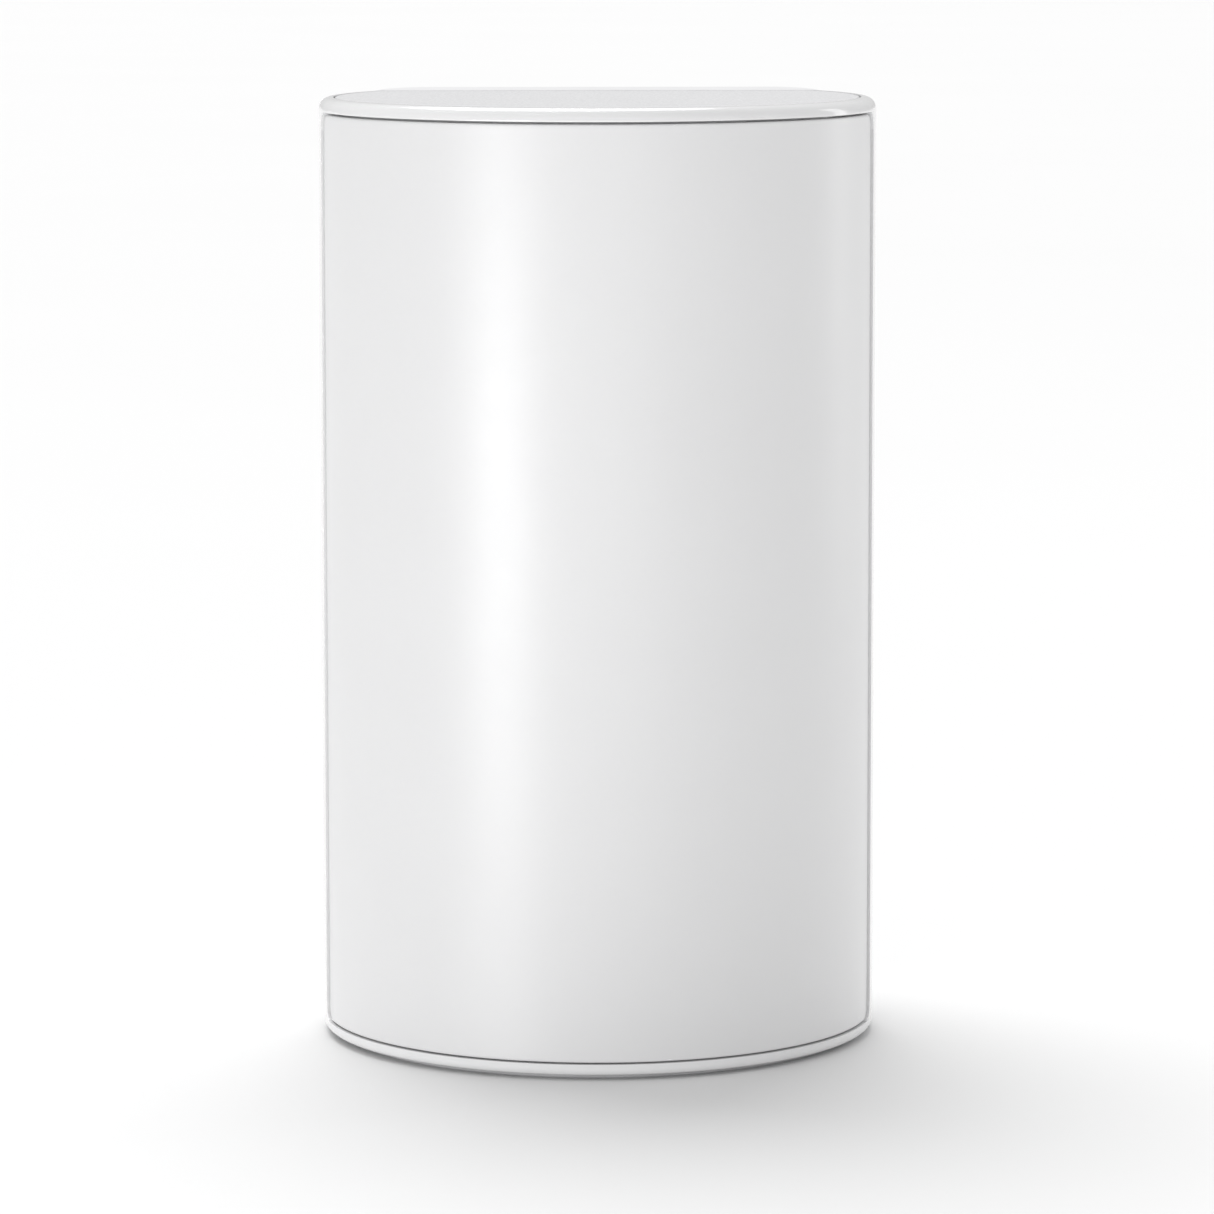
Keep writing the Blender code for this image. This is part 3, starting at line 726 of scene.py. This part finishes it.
def port_bay(finish):
    """The liner of the recess, with openings for the sockets and buttons."""
    back = BAY_HIGH.y
    block = box((-BAY_HALF, BAY_HALF), (BAY_LOW.y, back), (BAY_LOW.z, BAY_TOP))
    body = new_object("port_bay_liner", block)
    inner_half = BAY_HALF - BAY_WALL
    cut(body, box((-inner_half, inner_half), (BAY_LOW.y + BAY_WALL, back + 2), (-1, BAY_CEILING)))
    holes = []
    for node in ("ethernet_jack_left", "ethernet_jack_right", "power_jack"):
        low, high = span(node)
        x, y = (low.x - GAP, high.x + GAP), (BOARD_BACK, high.y + GAP)
        holes.append(box(x, y, (BAY_CEILING - 1, BAY_TOP + 1)))
    for node, radius in (
        ("pair_button", PAIR_HOLE_RADIUS),
        ("reset_switch_plunger", PINHOLE_RADIUS),
    ):
        x, y = middle_of(node)
        holes.append(rod((x, y, BAY_CEILING - 1), UP, 4, radius))
    cut(body, merged(holes))
    tidy(body)
    round_edges(body, 0.15, 2)
    return add_piece(body, finish, HOUSING, ["port_bay"])


def middle_of(node):
    """Where the middle of a CAD node is, seen from above."""
    low, high = span(node)
    return (low.x + high.x) / 2, (low.y + high.y) / 2


def base_plate(finish):
    """The vented bottom, with a groove for the foot ring and four countersunk screw holes."""
    outline = round_front(BASE_HIGH.x, BASE_HIGH.y)
    body = new_object("base_plate_pan", prism(outline, BASE_LOW.z, BASE_HIGH.z))
    through = (0, BASE_HIGH.z + 1)
    notch = BAY_HALF + GAP
    cut(body, box((-notch, notch), (BAY_LOW.y - GAP, SEAM_Y + 2), through))
    inner, outer = RING_HIGH.x - GROOVE_WIDTH, RING_HIGH.x + 0.2
    cut(body, sector(inner, outer, -GROOVE_ANGLE, GROOVE_ANGLE, 0, RING_HIGH.z + GAP))
    holes = [rounded_box((x - 1, x + 1), BASE_VENT_DEPTH, through, VENT_CORNER) for x in VENT_X]
    seats = []
    for node in BASE_SCREWS:
        x, y = middle_of(node)
        holes.append(rod((x, y, 0), UP, 5, 1.7))
        seats.append(rod((x, y, 0), UP, 2.0, 3.0))
    cut(body, merged(holes))
    cut(body, merged(seats))
    tidy(body)
    round_edges(body, 0.12, 2)
    return add_piece(body, finish, HOUSING, ["base_plate"])


def feet(finish):
    """The rubber ring under the front and the two round feet under the rear."""
    outer = RING_HIGH.x
    strip = sector(outer - RING_WIDTH, outer, -RING_ANGLE, RING_ANGLE, 0, RING_HIGH.z)
    ring = new_object("foot_ring_rubber", strip)
    round_edges(ring, 0.35, 3)
    add_piece(ring, finish, HOUSING, ["foot_ring"])
    for side in ("left", "right"):
        low, high = span(f"rear_foot_{side}")
        x, y = middle_of(f"rear_foot_{side}")
        radius = (high.x - low.x) / 2
        profile = [(0.0, radius - 0.4), (0.1, radius - 0.15), (0.4, radius), (high.z, radius)]
        foot = new_object(f"rear_foot_{side}_rubber", turned((x, y, 0), UP, profile))
        add_piece(foot, finish, HOUSING, [f"rear_foot_{side}"])


def wall_bracket(finish):
    """A hat-section plate with two screw holes, whose wings lock behind the pocket's lips."""
    low, high = BRACKET_LOW.z, BRACKET_HIGH.z
    back = BRACKET_HIGH.y
    plate_depth = (PLATE_FRONT, back)
    plate = rounded_box((-PLATE_HALF, PLATE_HALF), plate_depth, (low, high), PLATE_CORNER, "y")
    body = new_object("wall_bracket_plate", plate)
    for side in (-1, 1):
        x = sorted(side * place for place in WEB_SIDE)
        join(body, box(x, (BRACKET_LOW.y, WEB_BACK), (low + 2.5, high - 2.5)))
    for side in (-1, 1):
        x = sorted((side * WING_IN, side * BRACKET_HIGH.x))
        join(body, merged([box(x, WING_DEPTH, lip_span(middle)) for middle in LIP_HEIGHTS]))
    holes = [turned((0, 39.8, z), (0, 1, 0), SCREW_HOLE) for z in SCREW_HOLE_HEIGHTS]
    cut(body, merged(holes))
    grip_depth = (back - GRIP_DEPTH, back + 1.5)
    grip = [box((-GRIP_HALF, GRIP_HALF), grip_depth, (z - 0.4, z + 0.4)) for z in GRIP_HEIGHTS]
    cut(body, merged(grip))
    tidy(body)
    round_edges(body, 0.15, 2)
    return add_piece(body, finish, "bracket", ["wall_bracket"])


# ------------------------------------------------------------------------------------------
# Sockets, buttons and screws
# ------------------------------------------------------------------------------------------


def ethernet_jack(side, shell_finish, insert_finish, contact_finish):
    """A shielded socket that faces down: metal shell, black insert and eight sprung contacts."""
    low, high = span(f"ethernet_jack_{side}")
    middle = (low.x + high.x) / 2

    def recess(half, depth, bottom, top, fit=0.0):
        x = (middle - half + fit, middle + half - fit)
        return box(x, (depth[0] + fit, depth[1] - fit), (bottom, top - 2 * fit))

    below = low.z - 1
    block = box((low.x, high.x), (low.y, high.y), (low.z, high.z))
    shell = new_object(f"ethernet_shell_{side}", block)
    cut(shell, recess(JACK_HOLE_HALF, JACK_HOLE_DEPTH, below, JACK_HOLE_TOP))
    tidy(shell)
    round_edges(shell, 0.25, 3)
    add_piece(shell, shell_finish, HOUSING, [f"ethernet_jack_{side}"])
    filling = recess(JACK_HOLE_HALF, JACK_HOLE_DEPTH, low.z + 0.3, JACK_HOLE_TOP, JACK_FIT)
    insert = new_object(f"ethernet_insert_{side}", filling)
    cut(insert, recess(JACK_MOUTH_HALF, JACK_MOUTH_DEPTH, below, JACK_MOUTH_TOP))
    cut(insert, recess(LATCH_HALF, LATCH_DEPTH, below, LATCH_TOP))
    tidy(insert)
    round_edges(insert, 0.12, 2)
    add_piece(insert, insert_finish, HOUSING)
    wires = []
    for i in range(CONTACTS):
        x = middle + (i - (CONTACTS - 1) / 2) * CONTACT_PITCH
        wires.append(contact_wire(x, JACK_MOUTH_DEPTH[0], low.z))
    contacts = new_object(f"ethernet_contacts_{side}", merged(wires))
    add_piece(contacts, contact_finish, HOUSING, weighted=False)


def contact_wire(x, wall_y, low_z):
    """A flat contact that comes off the wall near the mouth and leans back into the socket."""
    left, right = x - 0.22, x + 0.22
    thick, drop = 0.2, 0.05
    sections = []
    for off_wall, up in ((0.05, 2.0), (0.5, 2.2), (1.6, 5.5), (2.3, 9.0), (2.5, 11.5)):
        front, z = wall_y + off_wall, low_z + up
        back = front + thick
        sections.append(
            [(left, front, z), (right, front, z), (right, back, z - drop), (left, back, z - drop)]
        )
    return loft(sections)


def power_jack(finish, pin_finish):
    """A round socket that faces down: black body, centre pin and sprung sleeve."""
    low, high = span("power_jack")
    x, y = (low.x + high.x) / 2, POWER_JACK_Y
    block = box((low.x, high.x), (low.y, high.y), (low.z, high.z))
    body = new_object("power_jack_housing", block)
    round_edges(body, 0.35, 3)
    bore = [(0.0, 3.9), (1.0, 3.9), (1.6, 3.2), (11.0, 3.2)]
    cut(body, turned((x, y, low.z - 1), UP, bore))
    tidy(body)
    add_piece(body, finish, HOUSING, ["power_jack"])
    profile = [(0.0, 0.45), (0.15, 0.8), (0.5, 1.0), (8.9, 1.0), (9.4, 1.6)]
    pin = new_object("power_jack_pin", turned((x, y, low.z + 0.6), UP, profile))
    add_piece(pin, pin_finish, HOUSING)
    sleeve = sleeve_ring(x, y, low=low.z + 1.6, outer=3.15, inner=2.95, length=6.0)
    add_piece(new_object("power_jack_sleeve", sleeve), pin_finish, HOUSING)


def sleeve_ring(x, y, low, outer, inner, length):
    """An open tube, standing on the given height."""
    shape = bmesh.new()
    rings = []
    high = low + length
    for radius, z in ((outer, low), (outer, high), (inner, high), (inner, low)):
        ring = []
        for i in range(SIDES):
            turn = 2 * math.pi * i / SIDES
            place = (x + radius * math.cos(turn), y + radius * math.sin(turn), z)
            ring.append(shape.verts.new(place))
        rings.append(ring)
    for a, b in zip(rings, rings[1:] + rings[:1]):
        for i in range(SIDES):
            j = (i + 1) % SIDES
            shape.faces.new((a[i], a[j], b[j], b[i]))
    return shape


def pair_button(finish):
    """A dished cap with a raised ring round its edge."""
    low = span("pair_button")[0]
    x, y = middle_of("pair_button")
    profile = [
        (0.55, 0.05),
        (0.5, 0.8),
        (0.42, 1.5),
        (0.25, 2.05),
        (0.06, 2.3),
        (0.0, 2.5),
        (0.05, 2.75),
        (0.2, 2.95),
        (0.45, 3.08),
        (0.7, 3.1),
        (3.0, 3.1),
        (3.0, 3.75),
        (3.05, 3.8),
        (4.0, 3.8),
    ]
    body = new_object("pair_button_cap", turned((x, y, low.z), UP, profile, 64))
    add_piece(body, finish, "pair_cap", ["pair_button"])


def base_screws(finish):
    """Screws with domed heads and a six-lobed recess."""
    dome = [(0.0, 1.6), (0.05, 2.1), (0.25, 2.5), (0.5, 2.6), (1.0, 2.6)]
    shank = [(1.0, 1.1), (8.0, 1.1)]
    for node in BASE_SCREWS:
        low = span(node)[0]
        x, y = middle_of(node)
        body = new_object(f"{node}_head", turned((x, y, low.z), UP, dome + shank))
        cut(body, lobed_key(x, y, low.z - 0.5, low.z + 0.7, radius=1.15, lobe=0.25))
        tidy(body)
        add_piece(body, finish, HOUSING, [node])


def lobed_key(x, y, low, high, radius, lobe):
    """The shape of a six-lobed driver."""
    outline = []
    for i in range(SIDES):
        turn = 2 * math.pi * i / SIDES
        reach = radius + lobe * math.cos(6 * turn)
        outline.append((x + reach * math.cos(turn), y + reach * math.sin(turn)))
    return prism(outline, low, high)


# ------------------------------------------------------------------------------------------
# CAD nodes that keep their shape
# ------------------------------------------------------------------------------------------

KEPT_EDGE = 0.12
PLACES = ("outer_left", "inner_left", "inner_right", "outer_right")
LEADS = [f"antenna_lead_{place}" for place in PLACES]
KEPT = {
    "board": ["main_board", "button_board"],
    "aluminium": ["heat_sink", "capacitor_left", "capacitor_right"],
    "steel": [
        "shield_can_left",
        "shield_can_right",
        "pair_switch_plunger",
        "reset_switch_plunger",
    ],
    "zinc": ["board_screw_1", "board_screw_2", "board_screw_3", "board_screw_4"],
    "pad": ["thermal_pad_cpu", "thermal_pad_radio"],
    "chip": ["cpu_chip", "radio_chip", "memory_chip", "flash_chip"],
    "dark": ["network_magnetics", "inductor", "pair_switch", "reset_switch", "antenna_carrier"],
    "clear": ["light_pipe", "status_led"],
    "gold": [f"antenna_{part}{place}" for place in PLACES for part in ("", "connector_")],
}


def dress_kept_nodes(materials):
    """Gives each CAD node that is shown as it is a material and, but for the leads, a bevel."""
    for key, nodes in [*KEPT.items(), ("dark", LEADS)]:
        for name in nodes:
            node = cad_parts[name]
            node.data.materials.clear()
            node.data.materials.append(materials[key])
            if name in LEADS:
                continue
            edge = node.modifiers.new("edge", "BEVEL")
            edge.width = KEPT_EDGE * MM
            edge.segments = 2
            edge.limit_method = "ANGLE"
            edge.angle_limit = math.radians(EDGE_ANGLE)


# ------------------------------------------------------------------------------------------
# Floor, light and camera
# ------------------------------------------------------------------------------------------

# Lengths are in metres here and angles in degrees; the lens and its sensor are in millimetres.
FLOOR_RADIUS = 40.0
CAMERA_DISTANCE = 0.983
CAMERA_HEIGHT = 0.1971
CAMERA_PITCH = 7.31
CAMERA_YAW = 0.096
CAMERA_ROLL = 0.06
LENS = 176.1
SENSOR = 36.0
WHITE = (1.0, 1.0, 1.0, 1.0)
SURROUND = 0.6
BACKDROP = 0.95


def floor():
    """A plain pale floor that reaches past what any view sees."""
    shape = bmesh.new()
    bmesh.ops.create_circle(shape, cap_ends=True, segments=96, radius=FLOOR_RADIUS)
    mesh = bpy.data.meshes.new("floor")
    shape.to_mesh(mesh)
    shape.free()
    plane = link(bpy.data.objects.new("floor", mesh))
    finish = Finish("pale_floor", (0.86, 0.86, 0.86), 0.7)
    finish.tint(finish.noise(3.0), (0.855, 0.855, 0.855))
    mesh.materials.append(finish.material)


def light(name, azimuth, height, distance, size, power, aim):
    """A soft box aimed at a height on the axis: azimuth 0 is in front and 90 to the right."""
    data = bpy.data.lights.new(name, "AREA")
    data.shape = "RECTANGLE"
    data.size, data.size_y = size
    data.energy = power
    lamp = link(bpy.data.objects.new(name, data))
    turn = math.radians(azimuth)
    lamp.location = (distance * math.sin(turn), -distance * math.cos(turn), height)
    toward = Vector((0.0, 0.0, aim)) - lamp.location
    lamp.rotation_euler = toward.to_track_quat("-Z", "Y").to_euler()


def sun(name, azimuth, elevation, softness, strength):
    """A very soft sun: azimuth as for light(), softness is the angle it spreads over."""
    data = bpy.data.lights.new(name, "SUN")
    data.angle = math.radians(softness)
    data.energy = strength
    lamp = link(bpy.data.objects.new(name, data))
    turn, rise = math.radians(azimuth), math.radians(elevation)
    level = math.cos(rise)
    toward = Vector((math.sin(turn) * level, -math.cos(turn) * level, math.sin(rise)))
    lamp.rotation_euler = toward.to_track_quat("Z", "Y").to_euler()


def studio():
    """Soft light all round, with a pale backdrop where the floor ends."""
    world = bpy.data.worlds.new("studio")
    world.use_nodes = True
    nodes, links = world.node_tree.nodes, world.node_tree.links
    surround = nodes["Background"]
    surround.inputs["Color"].default_value = WHITE
    surround.inputs["Strength"].default_value = SURROUND
    backdrop = nodes.new("ShaderNodeBackground")
    backdrop.inputs["Color"].default_value = WHITE
    backdrop.inputs["Strength"].default_value = BACKDROP
    path = nodes.new("ShaderNodeLightPath")
    mix = nodes.new("ShaderNodeMixShader")
    links.new(path.outputs["Is Camera Ray"], mix.inputs["Fac"])
    links.new(surround.outputs["Background"], mix.inputs[1])
    links.new(backdrop.outputs["Background"], mix.inputs[2])
    links.new(mix.outputs["Shader"], nodes["World Output"].inputs["Surface"])
    bpy.context.scene.world = world
    bpy.context.scene.view_settings.view_transform = "Standard"
    sun("overhead", azimuth=-165, elevation=62, softness=42, strength=1.9)
    for name, azimuth, power in (("key_near", -36, 0.66), ("key_far", -46, 0.31)):
        light(name, azimuth, height=0.03, distance=0.7, size=(0.24, 0.05), power=power, aim=0.02)
    light("low", azimuth=0, height=0.06, distance=0.5, size=(0.4, 0.1), power=0.15, aim=0.0)
    light("side", azimuth=118, height=0.3, distance=1.2, size=(0.2, 0.9), power=1.02, aim=0.08)


def camera():
    """A long lens in front of the body and a little above it, looking slightly down."""
    data = bpy.data.cameras.new("camera")
    data.sensor_width = SENSOR
    data.lens = LENS
    data.clip_end = 100.0
    eye = link(bpy.data.objects.new("camera", data))
    eye.location = (0.0, AXIS_Y * MM - CAMERA_DISTANCE, CAMERA_HEIGHT)
    eye.rotation_euler = (
        math.radians(90 - CAMERA_PITCH),
        math.radians(CAMERA_ROLL),
        math.radians(-CAMERA_YAW),
    )
    bpy.context.scene.camera = eye


# ------------------------------------------------------------------------------------------
# Assembly
# ------------------------------------------------------------------------------------------

camera()
studio()
floor()
looks = make_materials()
front_cover(looks["cover"])
main_frame(looks["rim"])
top_inlay(looks["inlay"])
rear_housing(looks["rear"])
port_bay(looks["bay"])
base_plate(looks["base"])
feet(looks["rubber"])
wall_bracket(looks["rear"])
for jack in ("left", "right"):
    ethernet_jack(jack, looks["steel"], looks["socket"], looks["gold"])
power_jack(looks["socket"], looks["steel"])
pair_button(looks["cover"])
base_screws(looks["zinc"])
dress_kept_nodes(looks)
